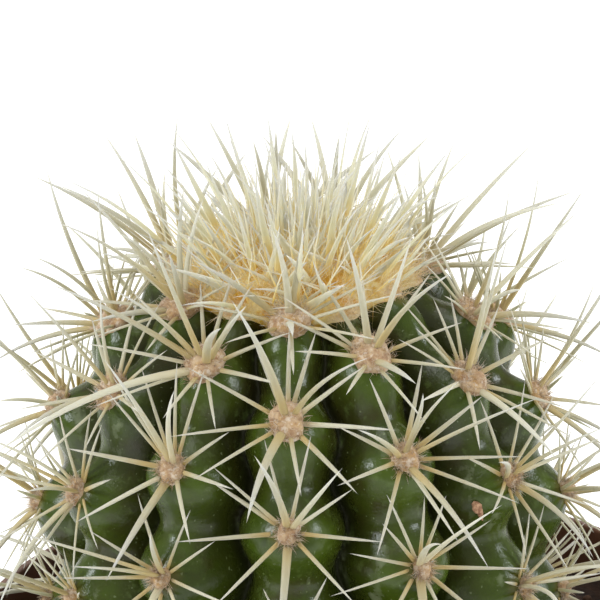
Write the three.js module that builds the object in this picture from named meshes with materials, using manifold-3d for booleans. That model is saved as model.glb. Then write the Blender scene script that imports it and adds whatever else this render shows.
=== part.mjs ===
// A young round cactus in its nursery pot, in millimetres, +Z up.
// The origin is the middle of the pot's underside, on the surface that the pot stands on.
import * as THREE from "three";
import { mergeVertices } from "three/addons/utils/BufferGeometryUtils.js";
import Module from "manifold-3d";

const wasm = await Module();
wasm.setup();

// Clearance between pieces that lie against each other, and the sides of everything turned
const GAP = 0.3;
const AROUND = 40;
// Faces this close to flat are joined
const SIMPLIFY = 0.02;

// Pot: a thin moulded cone with a collar, standing on a centre disc and a foot ring
const POT_HEIGHT = 112;
const RIM_RADIUS = 65;
const FOOT_RADIUS = 45;
const FOOT_EDGE = 1;
const WALL = 1.4;
const FLOOR = 1.6;
const COLLAR_HEIGHT = 14;
const COLLAR_PROUD = 2.2;
const COLLAR_FLARE = 1;
const COLLAR_SHELF = 0.8;
const LIP_ROUND = 0.4;
const DISC_RADIUS = 24;
const FOOT_RING_RADIUS = 36;
const GROOVE_DEPTH = 2.2;
const GROOVE_SLOPE = 2;
const SLOPE_SHIFT = 0.6;
const DRAIN_COUNT = 8;
const DRAIN_RADIUS = 3.2;
const DRAIN_SIDES = 10;

// Soil: its level in the pot, the size of its unevenness, and where its surface is measured
const SOIL_BELOW_RIM = 9;
const SOIL_UNEVEN = 1.1;
const SOIL_RINGS = [22, 30, 38, 46, 54];
const SOIL_SQUEEZE = 0.1;
const HOLLOW_SIDES = 36;
const HOLLOW_STEPS = 7;
const HOLLOW_RIM = 112;

// Plant: the round surface that the woolly spots of its ribs lie on, about its widest level
const PLANT_CENTRE = [-7.5, 0, 135];
const PLANT_LEAN = 1.8;
const WIDE_RADIUS = 44;
const CROWN_HEIGHT = 46.9;
const SIDE_POWER = 0.904;
const TOP_POWER = 0.915;

// Ribs: how many, where the middle rib faces, and how far apart the spots of a rib are in degrees
const RIBS = 13;
const FIRST_RIB = -6;
const FRONT_TURN = -2.5;
const SPOT_START = 25.48;
const SPOT_STEP = 25.08;
const SPOT_SLOWING = 0.96;
const TOP_PLACE = -0.98;
const BOTTOM_PLACE = 9.95;
const LAST_SPOT = 4.5;
// How far down each rib its first spot lies, from the rib before the seam at the back to the one after
const RIB_START = [0.12, 0.6, 0.08, 0.6, 0.04, 0.52, 0, 0.45, 0.95, 0.56, 0.1, 0.58, 0.14];

// Bumps: depth of the valleys between ribs, and how far below each spot its bump has its middle
const VALLEY_DEPTH = 8.5;
const VALLEY_POWER = 1.2;
const NOTCH_DEPTH = 0.13;
const BUMP_BELOW_SPOT = 0.09;
// Squared share of a rib's spacing from its middle to the valley line, and where the valleys bottom out
const BUMP_REACH = 0.25;
const VALLEY_LIMIT = 1.3;
const DISH_DEPTH = 4;
const DISH_FROM = -0.35;
const DISH_TO = -0.02;
const BURIED_RELIEF = 0.25;
const BURIED_FROM = 4.3;
const BURIED_TO = 5.4;
const RIB_SAMPLES = 4;
const ROWS_PER_SPOT = 3.2;
const DISH_ROWS = [-0.6, -0.3, -0.12];
const FIRST_ROW = 0.04;
const BURIED_ROWS = [6.3, 7.8];

// Woolly spots, each turned this far toward the crown, and their spines
const SPOT_TILT = 7;
const PAD_SIDES = 5;
const PAD_YOUNG_RADIUS = 3.1;
const PAD_OLD_RADIUS = 2;
const PAD_HEIGHT = 1.2;
const PAD_LONGER = 1.15;
const PAD_EDGE_DEPTH = 0.5;
const PAD_ROOT = 2;
const ROOT_DEPTH = 1.3;
const ROOT_RING = 0.9;
const FLATTENING = 0.75;
const RADIAL_CLOCK = [20, 60, 97, 136, -136, -97, -60, -20];
// One radial spine in this many is left out, which turns from spot to spot
const RADIAL_SKIP = 4;
const RADIAL_LENGTH = 15;
const LOWER_RADIAL_LONGER = 1.12;
const LOWER_RADIAL_FROM = 80;
const RADIAL_WIDTH = 0.95;
const RADIAL_LIFT = 20;
const CENTRAL_WIDTH = 1.7;
const CENTRAL_CLOCK = [180, -25];
const CENTRAL_LIFT = [28, 68];
const CENTRAL_LENGTH = [20, 25];
// The lower middle spine of one young spot has outgrown the others
const LONG_SPINE = { rib: -1, number: 0, clock: -150, lift: 20, length: 37 };
// How far the clock angle, lift and length of a spine stray from these
const RADIAL_STRAY = { clock: 8, lift: 7, length: 0.14 };
const CENTRAL_STRAY = { clock: 16, lift: 10, length: 0.18 };
// Spines that are still growing, near the crown, have this share of their length
const YOUNG_LENGTH = 0.72;
// Room that a spine keeps above the soil and round the rim, and how it is turned up to get it
const CLEAR_OF_POT = 0.7;
const CLEAR_OF_RIM = 3.2;
const CLEAR_FROM = 0.2;
const CLEAR_STEP = 0.08;
const RAISE_STEP = 0.12;
const RAISE_TRIES = 12;
const SHORTENED = [1, 0.8, 0.6];

// Crown: wool in the dish at the top, and the upright spines in it
const WOOL_RADIUS = 19.4;
const WOOL_RISE = 1.4;
const WOOL_FALL = 4.4;
const WOOL_UNEVEN = 0.5;
const WOOL_LOBES = 0.05;
const WOOL_SAMPLES = 3;
const WOOL_ROOT = 14;
const WOOL_SHARES = [0.28, 0.55, 0.8, 1];
const CROWN_SPINES = 84;
const CROWN_SPINE_LENGTH = [15.5, 21];
const CROWN_SPINE_WIDTH = 2.1;
const CROWN_LEAN = [2, 56];
const CROWN_STRAY = { place: 0.25, lean: 16, turn: 0.8 };
// The shortest and the longest share of its length that a crown spine grows to, where few grow long
const CROWN_GROWTH = [0.66, 1.36];
const GROWN_FEW = 2.6;
const CROWN_SPREAD = 0.86;
const CROWN_TRIES = 40;

const { degToRad, smoothstep, lerp } = THREE.MathUtils;

const materials = {
  pot: new THREE.MeshStandardMaterial({ color: 0x55301d, roughness: 0.5, metalness: 0 }),
  soil: new THREE.MeshStandardMaterial({ color: 0x2a1c14, roughness: 0.95, metalness: 0 }),
  skin: new THREE.MeshStandardMaterial({ color: 0x35502a, roughness: 0.35, metalness: 0 }),
  wool: new THREE.MeshStandardMaterial({ color: 0xd7b070, roughness: 0.9, metalness: 0 }),
};

// A repeatable draw between 0 and 1 for each set of whole numbers
function draw(...keys) {
  let state = 20261;
  for (const key of keys) {
    state = ((state + key * 7919 + 104729) * 48271) % 2147483647;
  }
  return ((state * 48271) % 2147483647) / 2147483647;
}

// A draw between -1 and 1
function sway(...keys) {
  return 2 * draw(...keys) - 1;
}

function solidFrom(vertices, triangles) {
  const mesh = new wasm.Mesh({
    numProp: 3,
    vertProperties: new Float32Array(vertices),
    triVerts: new Uint32Array(triangles),
  });
  return new wasm.Manifold(mesh);
}

// A three.js geometry as a solid that can be joined and cut
function solidOf(geometry) {
  const bare = geometry.index ? geometry.toNonIndexed() : geometry.clone();
  bare.deleteAttribute("normal");
  bare.deleteAttribute("uv");
  const merged = mergeVertices(bare, 1e-4);
  const corners = merged.index.array;
  const triangles = [];
  for (let i = 0; i < corners.length; i += 3) {
    const [a, b, c] = [corners[i], corners[i + 1], corners[i + 2]];
    if (a !== b && b !== c && c !== a) triangles.push(a, b, c);
  }
  return solidFrom(merged.attributes.position.array, triangles);
}

function meshOf(name, solid, material) {
  const { numProp, vertProperties, triVerts } = solid.getMesh();
  const positions = new Float32Array((vertProperties.length / numProp) * 3);
  for (let i = 0; i < positions.length / 3; i += 1) {
    for (let axis = 0; axis < 3; axis += 1) positions[3 * i + axis] = vertProperties[numProp * i + axis];
  }
  const geometry = new THREE.BufferGeometry();
  geometry.setAttribute("position", new THREE.BufferAttribute(positions, 3));
  geometry.setIndex(new THREE.BufferAttribute(new Uint32Array(triVerts), 1));
  geometry.computeVertexNormals();
  const mesh = new THREE.Mesh(geometry, material);
  mesh.name = name;
  return mesh;
}

// A lathe turned about Z from [radius, height] points that run from the axis back to the axis
function turned(points, sides = AROUND) {
  const profile = points.map(([radius, height]) => new THREE.Vector2(radius, height));
  const geometry = new THREE.LatheGeometry(profile, sides);
  geometry.rotateX(Math.PI / 2);
  const solid = solidOf(geometry);
  return solid.volume() < 0 ? solidOf(geometry.scale(1, 1, -1)) : solid;
}

// Rings of points joined into one closed surface, with a point at each end
function ringedSolid(top, rings, bottom) {
  const sides = rings[0].length;
  const vertices = [...top];
  for (const ring of rings) {
    for (const point of ring) vertices.push(...point);
  }
  vertices.push(...bottom);
  const last = 1 + rings.length * sides;
  const triangles = [];
  const at = (row, i) => 1 + row * sides + (i % sides);
  for (let i = 0; i < sides; i += 1) {
    triangles.push(0, at(0, i), at(0, i + 1));
    for (let row = 0; row + 1 < rings.length; row += 1) {
      triangles.push(at(row, i), at(row + 1, i), at(row + 1, i + 1));
      triangles.push(at(row, i), at(row + 1, i + 1), at(row, i + 1));
    }
    triangles.push(at(rings.length - 1, i), last, at(rings.length - 1, i + 1));
  }
  return solidFrom(vertices, triangles);
}

// Radius of the pot's outside at a height on the cone below the collar
function coneRadius(height) {
  const share = height / (POT_HEIGHT - COLLAR_HEIGHT);
  return lerp(FOOT_RADIUS, RIM_RADIUS - COLLAR_FLARE - COLLAR_PROUD, share);
}

function makePot() {
  const under = POT_HEIGHT - COLLAR_HEIGHT;
  const shelf = under + COLLAR_SHELF;
  const shell = turned([
    [0, 0],
    [DISC_RADIUS, 0],
    [DISC_RADIUS + GROOVE_SLOPE, GROOVE_DEPTH],
    [FOOT_RING_RADIUS - GROOVE_SLOPE, GROOVE_DEPTH],
    [FOOT_RING_RADIUS, 0],
    [FOOT_RADIUS - FOOT_EDGE, 0],
    [FOOT_RADIUS, FOOT_EDGE],
    [coneRadius(under), under],
    [RIM_RADIUS - COLLAR_FLARE, shelf],
    [RIM_RADIUS, POT_HEIGHT - LIP_ROUND],
    [RIM_RADIUS - LIP_ROUND, POT_HEIGHT],
    [RIM_RADIUS - WALL, POT_HEIGHT],
    [RIM_RADIUS - WALL - COLLAR_FLARE, shelf + WALL],
    [coneRadius(under) - WALL, under - WALL],
    [FOOT_RADIUS - WALL, FLOOR],
    [FOOT_RING_RADIUS + SLOPE_SHIFT, FLOOR],
    [FOOT_RING_RADIUS - GROOVE_SLOPE + SLOPE_SHIFT, GROOVE_DEPTH + FLOOR],
    [DISC_RADIUS + GROOVE_SLOPE - SLOPE_SHIFT, GROOVE_DEPTH + FLOOR],
    [DISC_RADIUS - SLOPE_SHIFT, FLOOR],
    [0, FLOOR],
  ]);
  const middle = (DISC_RADIUS + FOOT_RING_RADIUS) / 2;
  const drains = [];
  for (let i = 0; i < DRAIN_COUNT; i += 1) {
    const angle = (2 * Math.PI * (i + 0.5)) / DRAIN_COUNT;
    const drain = new THREE.CylinderGeometry(DRAIN_RADIUS, DRAIN_RADIUS, 4 * GROOVE_DEPTH, DRAIN_SIDES);
    drain.rotateX(Math.PI / 2);
    drain.translate(middle * Math.cos(angle), middle * Math.sin(angle), GROOVE_DEPTH);
    drains.push(solidOf(drain));
  }
  return shell.subtract(wasm.Manifold.union(drains));
}

// The soil's uneven level at a place in the pot
function soilLevel(x, y) {
  const wave = Math.sin(x / 8 + 1) * Math.cos(y / 10 - 0.5) + 0.6 * Math.sin((x - y) / 5);
  return POT_HEIGHT - SOIL_BELOW_RIM + SOIL_UNEVEN * wave;
}

// A ring of points in the pot, at a level of its own or on the soil's uneven surface
function potRing(radius, level) {
  const points = [];
  for (let i = 0; i < AROUND; i += 1) {
    const turn = (2 * Math.PI * i) / AROUND;
    const [x, y] = [radius * Math.sin(turn), -radius * Math.cos(turn)];
    points.push([x, y, level ?? soilLevel(x, y)]);
  }
  return points;
}

// Soil up to its level, shaped like the pot's inside, with a plain hollow for the plant
function makeSoil() {
  const under = POT_HEIGHT - COLLAR_HEIGHT;
  const floor = FLOOR + GAP;
  const shelf = under + COLLAR_SHELF + WALL + GAP;
  const edge = RIM_RADIUS - WALL - COLLAR_FLARE - GAP - SOIL_SQUEEZE;
  const rings = [
    ...SOIL_RINGS.map((radius) => potRing(radius)),
    potRing(edge),
    potRing(edge, shelf),
    potRing(coneRadius(under) - WALL - GAP - SOIL_SQUEEZE, under - WALL + GAP),
    potRing(FOOT_RADIUS - WALL - GAP, floor),
    potRing(FOOT_RING_RADIUS + SLOPE_SHIFT + GAP, floor),
    potRing(FOOT_RING_RADIUS - GROOVE_SLOPE + SLOPE_SHIFT + GAP, GROOVE_DEPTH + floor),
    potRing(DISC_RADIUS + GROOVE_SLOPE - SLOPE_SHIFT - GAP, GROOVE_DEPTH + floor),
    potRing(DISC_RADIUS - SLOPE_SHIFT - GAP, floor),
  ];
  return ringedSolid([0, 0, soilLevel(0, 0)], rings, [0, 0, floor]).subtract(makeHollow());
}

// The bowl that the plant's round surface presses into the soil
function makeHollow() {
  const points = [];
  for (let i = 0; i <= HOLLOW_STEPS; i += 1) {
    const polar = degToRad(lerp(180, HOLLOW_RIM, i / HOLLOW_STEPS));
    const [radius, height] = roundProfile(polar);
    const [outward, upward] = roundNormal(polar);
    points.push([i === 0 ? 0 : radius + GAP * outward, height + GAP * upward]);
  }
  points.push([0, points[HOLLOW_STEPS][1]]);
  return turned(points, HOLLOW_SIDES).transform(plantTurn.elements);
}

// Turns a point of the plant's own frame into the pot's frame
const plantTurn = new THREE.Matrix4().makeRotationY(degToRad(-PLANT_LEAN));
plantTurn.setPosition(...PLANT_CENTRE);

// Angle from the crown to a place, where whole steps of the place are spots along a rib
function polarAngle(place) {
  const degrees = SPOT_START + SPOT_STEP * place - SPOT_SLOWING * place * place;
  return degToRad(Math.min(Math.max(degrees, 0), 180));
}

// The round surface at a place along a rib: its radius and height
function roundProfile(polar) {
  const level = Math.cos(polar);
  const radius = WIDE_RADIUS * Math.abs(Math.sin(polar)) ** SIDE_POWER;
  return [radius, CROWN_HEIGHT * Math.sign(level) * Math.abs(level) ** TOP_POWER];
}

// Direction square to the round surface, as an outward and an upward share
function roundNormal(polar) {
  const step = 0.01;
  const [r0, z0] = roundProfile(Math.max(polar - step, 0));
  const [r1, z1] = roundProfile(Math.min(polar + step, Math.PI));
  const length = Math.hypot(r1 - r0, z1 - z0);
  return [(z0 - z1) / length, (r1 - r0) / length];
}

function ribTurn(rib) {
  return degToRad(FRONT_TURN + (360 / RIBS) * rib);
}

function ribStart(rib) {
  return RIB_START[(rib - FIRST_RIB + RIBS) % RIBS];
}

// A whole number above zero that stands for a rib in the draws
function ribKey(rib) {
  return rib - FIRST_RIB + 1;
}

// How far the skin lies below the round surface, deepest between the ribs
function reliefDepth(rib, place) {
  let nearest = Infinity;
  for (const column of [Math.floor(rib), Math.floor(rib) + 1]) {
    const across = rib - column;
    const along = place - ribStart(column) - BUMP_BELOW_SPOT;
    const notch = NOTCH_DEPTH * Math.sin(Math.PI * along) ** 2;
    nearest = Math.min(nearest, across * across + notch);
  }
  const [radius] = roundProfile(polarAngle(place));
  const size = radius / WIDE_RADIUS;
  const buried = lerp(1, BURIED_RELIEF, smoothstep(place, BURIED_FROM, BURIED_TO));
  const valley = VALLEY_DEPTH * size * buried * Math.min(nearest / BUMP_REACH, VALLEY_LIMIT) ** VALLEY_POWER;
  return valley + DISH_DEPTH * (1 - smoothstep(place, DISH_FROM, DISH_TO));
}

// A point of the skin, moved out by a clearance
function skinPoint(rib, place, out = 0) {
  const polar = polarAngle(place);
  const [radius, height] = roundProfile(polar);
  const [outward, upward] = roundNormal(polar);
  const move = out - reliefDepth(rib, place);
  const far = Math.max(radius + move * outward, 0);
  const turn = ribTurn(rib);
  return [far * Math.sin(turn), -far * Math.cos(turn), height + move * upward];
}

// The ribbed body, closed at its crown and at the end that sits in the soil
function makeSkin(out) {
  const shown = Math.round(BURIED_TO * ROWS_PER_SPOT);
  const places = [...DISH_ROWS];
  for (let i = 0; i <= shown; i += 1) places.push(lerp(FIRST_ROW, BURIED_TO, i / shown));
  places.push(...BURIED_ROWS);
  const rings = places.map((place) => {
    const ring = [];
    for (let i = 0; i < RIBS * RIB_SAMPLES; i += 1) {
      ring.push(skinPoint(FIRST_RIB + i / RIB_SAMPLES, place, out));
    }
    return ring;
  });
  return ringedSolid(skinPoint(0, TOP_PLACE, out), rings, skinPoint(0, BOTTOM_PLACE, out));
}

// The frame of a woolly spot: its middle, and the directions out, toward the crown and to the right
function spotFrame(rib, place) {
  const polar = polarAngle(place);
  const [outward, upward] = roundNormal(polar);
  const turn = ribTurn(rib);
  const side = new THREE.Vector3(Math.sin(turn), -Math.cos(turn), 0);
  const out = side.clone().multiplyScalar(outward).add(new THREE.Vector3(0, 0, upward));
  const up = side.clone().multiplyScalar(-upward).add(new THREE.Vector3(0, 0, outward));
  const right = up.clone().cross(out);
  out.applyAxisAngle(right, degToRad(-SPOT_TILT));
  up.applyAxisAngle(right, degToRad(-SPOT_TILT));
  return { middle: new THREE.Vector3(...skinPoint(rib, place)), out, up, right };
}

// A direction in a spot's frame, by its clock angle from the crown's side and its lift off the skin
function spineDirection(frame, clock, lift) {
  const flat = frame.up.clone().multiplyScalar(Math.cos(degToRad(clock)));
  flat.addScaledVector(frame.right, Math.sin(degToRad(clock)));
  return flat.multiplyScalar(Math.cos(degToRad(lift))).addScaledVector(frame.out, Math.sin(degToRad(lift)));
}

// A straight three-sided needle, wide across one direction and thinner across the other
function needle(root, tip, width, thickness, flatAcross) {
  const along = tip.clone().sub(root).normalize();
  const across = flatAcross.clone().addScaledVector(along, -flatAcross.dot(along)).normalize();
  const over = along.clone().cross(across);
  const vertices = [];
  for (const angle of [90, 210, 330].map(degToRad)) {
    const point = root.clone();
    point.addScaledVector(across, (width * Math.cos(angle)) / 2);
    point.addScaledVector(over, (thickness * Math.sin(angle)) / 2);
    vertices.push(...point.toArray());
  }
  vertices.push(...tip.toArray());
  return solidFrom(vertices, [0, 2, 1, 0, 1, 3, 1, 2, 3, 2, 0, 3]);
}

// True where a spine stays clear of the pot's rim and the soil
function clearOfPot(root, tip) {
  for (let share = CLEAR_FROM; share <= 1; share += CLEAR_STEP) {
    const point = root.clone().lerp(tip, share).applyMatrix4(plantTurn);
    const radius = Math.hypot(point.x, point.y);
    const above = point.z - CLEAR_OF_POT;
    const inSoil = radius < RIM_RADIUS - WALL - 2 && above < soilLevel(point.x, point.y);
    const inRim = Math.abs(radius - RIM_RADIUS + WALL) < CLEAR_OF_RIM && above < POT_HEIGHT;
    if (inSoil || inRim) return false;
  }
  return true;
}

// A spine's root and tip: it is turned upward or shortened until it clears the pot, or left out
function spineEnds(frame, direction, length) {
  const root = frame.middle.clone().addScaledVector(frame.out, -ROOT_DEPTH);
  root.addScaledVector(direction, ROOT_RING);
  for (const share of SHORTENED) {
    for (let raise = 0; raise < RAISE_TRIES; raise += 1) {
      const way = direction.clone().add(new THREE.Vector3(0, 0, RAISE_STEP * raise)).normalize();
      const tip = root.clone().addScaledVector(way, share * length);
      if (clearOfPot(root, tip)) return [root, tip];
    }
  }
  return null;
}

// The flat star of spines round a spot
function radialSpines(rib, number) {
  const key = ribKey(rib);
  return RADIAL_CLOCK.map((clock, i) => {
    const longer = Math.abs(clock) > LOWER_RADIAL_FROM ? LOWER_RADIAL_LONGER : 1;
    return {
      clock: clock + RADIAL_STRAY.clock * sway(key, number, i, 1),
      lift: RADIAL_LIFT + RADIAL_STRAY.lift * sway(key, number, i, 2),
      length: RADIAL_LENGTH * longer * (1 + RADIAL_STRAY.length * sway(key, number, i, 3)),
      width: RADIAL_WIDTH,
    };
  }).filter((spine, i) => (i + key + number) % RADIAL_SKIP !== 0);
}

// The thick spines that stand out of a spot's middle
function centralSpines(rib, number) {
  const key = ribKey(rib);
  const growth = lerp(YOUNG_LENGTH, 1, smoothstep(ribStart(rib) + number, 0, 1));
  const spines = CENTRAL_CLOCK.map((clock, i) => ({
    clock: clock + CENTRAL_STRAY.clock * sway(key, number, i, 5),
    lift: CENTRAL_LIFT[i] + CENTRAL_STRAY.lift * sway(key, number, i, 6),
    length: growth * CENTRAL_LENGTH[i] * (1 + CENTRAL_STRAY.length * sway(key, number, i, 7)),
    width: CENTRAL_WIDTH,
  }));
  const outgrown = rib === LONG_SPINE.rib && number === LONG_SPINE.number;
  if (outgrown) spines[0] = { ...LONG_SPINE, width: CENTRAL_WIDTH };
  return spines;
}

// The wool button of a spot, with its root in the skin
function spotPad(rib, place, frame, out) {
  const size = lerp(PAD_YOUNG_RADIUS, PAD_OLD_RADIUS, smoothstep(place, 0, 2)) + out;
  const ring = [];
  for (let i = 0; i < PAD_SIDES; i += 1) {
    const angle = (2 * Math.PI * i) / PAD_SIDES;
    ring.push(frame.middle.clone()
      .addScaledVector(frame.right, size * Math.cos(angle))
      .addScaledVector(frame.up, PAD_LONGER * size * Math.sin(angle))
      .addScaledVector(frame.out, -PAD_EDGE_DEPTH)
      .toArray());
  }
  const top = frame.middle.clone().addScaledVector(frame.out, PAD_HEIGHT + out);
  const bottom = frame.middle.clone().addScaledVector(frame.out, -PAD_ROOT);
  return ringedSolid(top.toArray(), [ring], bottom.toArray());
}

// Every spot on the ribs that shows: its rib, its number on the rib and its place
function spots() {
  const list = [];
  for (let rib = FIRST_RIB; rib < FIRST_RIB + RIBS; rib += 1) {
    for (let number = 0; ribStart(rib) + number < LAST_SPOT; number += 1) {
      list.push({ rib, number, place: ribStart(rib) + number });
    }
  }
  return list;
}

// The pads and spines of all spots, thickened by a clearance
function makeSpotPieces(out) {
  const pieces = [];
  for (const { rib, number, place } of spots()) {
    const frame = spotFrame(rib, place);
    pieces.push(spotPad(rib, place, frame, out));
    const spines = [...radialSpines(rib, number), ...centralSpines(rib, number)];
    for (const { clock, lift, length, width } of spines) {
      const direction = spineDirection(frame, clock, lift);
      const ends = spineEnds(frame, direction, length + 2 * out);
      if (!ends) continue;
      const across = direction.clone().cross(frame.out);
      const thick = 4 * out;
      pieces.push(needle(...ends, width + thick, FLATTENING * width + thick, across));
    }
  }
  return pieces;
}

// The largest of the bodies of a solid
function mainBody(solid) {
  return solid.decompose().reduce((best, one) => (one.volume() > best.volume() ? one : best));
}

// Height of the wool at a share of its radius
function woolHeight(share) {
  return CROWN_HEIGHT + WOOL_RISE * (1 - share ** 2) - WOOL_FALL * share ** 2;
}

// The dome of wool, whose underside is cut to the dish in the body
function makeWool(keepOut) {
  const rings = WOOL_SHARES.map((share, row) => {
    const ring = [];
    for (let i = 0; i < RIBS * WOOL_SAMPLES; i += 1) {
      const turn = ribTurn(i / WOOL_SAMPLES);
      const radius = WOOL_RADIUS * share * (1 + WOOL_LOBES * Math.cos((2 * Math.PI * i) / WOOL_SAMPLES));
      const height = woolHeight(share) + WOOL_UNEVEN * sway(row, i);
      ring.push([radius * Math.sin(turn), -radius * Math.cos(turn), height]);
    }
    return ring;
  });
  const dome = ringedSolid([0, 0, woolHeight(0)], rings, [0, 0, CROWN_HEIGHT - WOOL_ROOT]);
  return mainBody(dome.subtract(keepOut));
}

// One upright spine of the crown, which leans further out the further out it stands
function crownSpine(number, attempt) {
  const golden = Math.PI * (3 - Math.sqrt(5));
  const share = Math.sqrt((number + 0.5) / CROWN_SPINES);
  const turn = number * golden + CROWN_STRAY.place * sway(number, attempt, 1);
  const side = new THREE.Vector3(Math.sin(turn), -Math.cos(turn), 0);
  const root = side.clone().multiplyScalar(CROWN_SPREAD * WOOL_RADIUS * share);
  root.z = woolHeight(share) - ROOT_DEPTH;
  const lean = degToRad(lerp(...CROWN_LEAN, share) + CROWN_STRAY.lean * sway(number, attempt, 2));
  const twist = turn + CROWN_STRAY.turn * sway(number, attempt, 3);
  const way = new THREE.Vector3(Math.sin(twist), -Math.cos(twist), 0).multiplyScalar(Math.sin(lean));
  way.z = Math.cos(lean);
  const growth = lerp(...CROWN_GROWTH, draw(number, attempt, 4) ** GROWN_FEW);
  const length = growth * lerp(...CROWN_SPINE_LENGTH, share);
  const tip = root.clone().addScaledVector(way, length);
  return needle(root, tip, CROWN_SPINE_WIDTH, FLATTENING * CROWN_SPINE_WIDTH, way.clone().cross(side));
}

// Wool and upright spines, each spine drawn again until it clears the spines of the ribs
function makeCrown() {
  const keepOut = wasm.Manifold.union([makeSkin(GAP), ...makeSpotPieces(GAP)]);
  const pieces = [makeWool(keepOut)];
  for (let number = 0; number < CROWN_SPINES; number += 1) {
    for (let attempt = 0; attempt < CROWN_TRIES; attempt += 1) {
      const spine = crownSpine(number, attempt);
      if (spine.intersect(keepOut).isEmpty()) {
        pieces.push(spine);
        break;
      }
    }
  }
  return wasm.Manifold.union(pieces);
}

const plant = new THREE.Group();
plant.applyMatrix4(plantTurn);
const body = wasm.Manifold.union([makeSkin(0), ...makeSpotPieces(0)]);
plant.add(meshOf("cactus_body", mainBody(body.simplify(SIMPLIFY)), materials.skin));
plant.add(meshOf("cactus_crown", mainBody(makeCrown().simplify(SIMPLIFY)), materials.wool));

const potted = new THREE.Group();
potted.add(meshOf("pot", makePot(), materials.pot));
potted.add(meshOf("soil", makeSoil().simplify(SIMPLIFY), materials.soil));
potted.add(plant);

export default potted;
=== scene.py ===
"""A young round cactus in its nursery pot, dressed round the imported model.

Sizes are in millimetres, in the frame's own axes with +Z up, and become metres as each mesh is made.
The plant's shapes follow the same rules as its solids: a round surface, thirteen ribs of bumps on it,
and a woolly spot with a star of spines on each bump.
"""

import itertools
import math
from dataclasses import dataclass, field

import bmesh
import bpy
import numpy as np
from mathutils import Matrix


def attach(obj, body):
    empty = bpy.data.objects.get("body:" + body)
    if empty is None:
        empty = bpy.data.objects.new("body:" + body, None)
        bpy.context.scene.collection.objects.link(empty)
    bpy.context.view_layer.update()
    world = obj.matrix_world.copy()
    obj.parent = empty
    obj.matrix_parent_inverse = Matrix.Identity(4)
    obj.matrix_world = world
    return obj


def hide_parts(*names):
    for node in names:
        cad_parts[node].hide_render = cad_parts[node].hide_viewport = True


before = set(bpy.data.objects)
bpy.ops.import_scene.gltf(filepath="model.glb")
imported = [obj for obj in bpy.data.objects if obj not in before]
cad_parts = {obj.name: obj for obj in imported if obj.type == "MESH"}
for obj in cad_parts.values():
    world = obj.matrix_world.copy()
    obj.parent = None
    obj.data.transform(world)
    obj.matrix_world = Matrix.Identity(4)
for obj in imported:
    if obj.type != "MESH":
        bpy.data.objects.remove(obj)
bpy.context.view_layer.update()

MM = 0.001
BODY = "root"
UP = np.array([0, 0, 1])

# Camera: the point it looks at, its height above the horizon in degrees, its distance and its lens
LOOK_AT = (-8.07, 0, 173.1)
CAMERA_RISE = 20.5
CAMERA_DISTANCE = 500
LENS = 185.67
SENSOR = 36

# Studio, in metres: where each soft light stands, its side, its power and its colour
COOL = (0.9, 0.95, 1)
PLAIN = (1, 1, 1)
LIGHTS = {
    "top_light": ((-0.1, -0.1, 1.3), 0.6, 4.4, PLAIN),
    "left_light": ((-0.95, -0.35, 0.75), 0.28, 7, COOL),
    "right_light": ((1, -0.3, 0.62), 0.28, 5.2, COOL),
    "back_light": ((0.2, 1.1, 0.9), 0.8, 3.8, PLAIN),
}
LIT_HEIGHT = 0.15
SURROUNDING = (1, 0.98, 0.91, 1)
SURROUNDING_STRENGTH = 0.55
STUDIO_REACH = 4

# Pot: a thin moulded cone with a collar, standing on a centre disc and a foot ring
POT_HEIGHT = 112
RIM_RADIUS = 65
FOOT_RADIUS = 45
FOOT_EDGE = 1
WALL = 1.4
FLOOR = 1.6
COLLAR_HEIGHT = 14
COLLAR_PROUD = 2.2
COLLAR_FLARE = 1
COLLAR_SHELF = 0.8
DISC_RADIUS = 24
FOOT_RING_RADIUS = 36
GROOVE_DEPTH = 2.2
GROOVE_SLOPE = 2
SLOPE_SHIFT = 0.6
DRAIN_COUNT = 8
DRAIN_RADIUS = 3.2
DRAIN_SIDES = 28
POT_SIDES = 160
CORNER_ROUND = 0.55
CORNER_STEPS = 4
WALL_STEP = 9
SHARP_ANGLE = 50
# How far the rim is out of true, and the height from which it is
RIM_WAVE = 0.16
WAVE_FROM = 60

# Soil: its level, its unevenness, its radius, its gap to the pot and its heap against the plant
SOIL_BELOW_RIM = 9
SOIL_UNEVEN = 1.1
SOIL_EDGE = 62.2
SOIL_UNDER_COLLAR = 60
SOIL_GAP = 0.3
SOIL_HEAP = 0.9
HEAP_TO = 0.2
# Where its lumps fade at the plant and at the pot, as shares of the way, and by how much at the pot
LUMPS_FROM = 0.06
LUMPS_TO = 0.94
LUMPS_FADE = 0.6
SOIL_SIDES_PER_RIB = 36
SOIL_ROWS = 62
# The bowl in it that holds the plant, by places along a rib, and where the skin may meet the soil
BOWL_ROWS = 9
BOWL_FROM = 9.6
BOWL_GAP = 0.12
CONTACT_BETWEEN = (4.2, 6.6)
# What lies on it: crumbs, with the middle and the spread of their radius as a logarithm, and fibres
CRUMBS = 760
CRUMB_RADIUS = (0.35, 1.9)
CRUMB_LOG_RADIUS = (-0.35, 0.42)
CRUMB_SQUASH = (0.55, 1.15)
CRUMB_RISE = 0.25
# The share of the crumbs that are pale grit
PALE_SHARE = 0.05
FIBRES = 90
FIBRE_LENGTH = (3, 9)
FIBRE_WIDTH = (0.18, 0.42)
FIBRE_RISE = 0.35
FIBRE_BEND = 1.2
FIBRE_FLATNESS = 0.8
FIBRE_SIDES = 5
FIBRE_FROM_EDGE = 0.6
FIBRE_TAPER = np.array([0.6, 1, 1, 0.95, 0.9, 0.8, 0.6, 0])

# Plant: the round surface that the woolly spots of its ribs lie on, about its widest level
PLANT_CENTRE = np.array([-7.5, 0, 135])
PLANT_LEAN = 1.8
WIDE_RADIUS = 44
CROWN_HEIGHT = 46.9
SIDE_POWER = 0.904
TOP_POWER = 0.915

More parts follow.
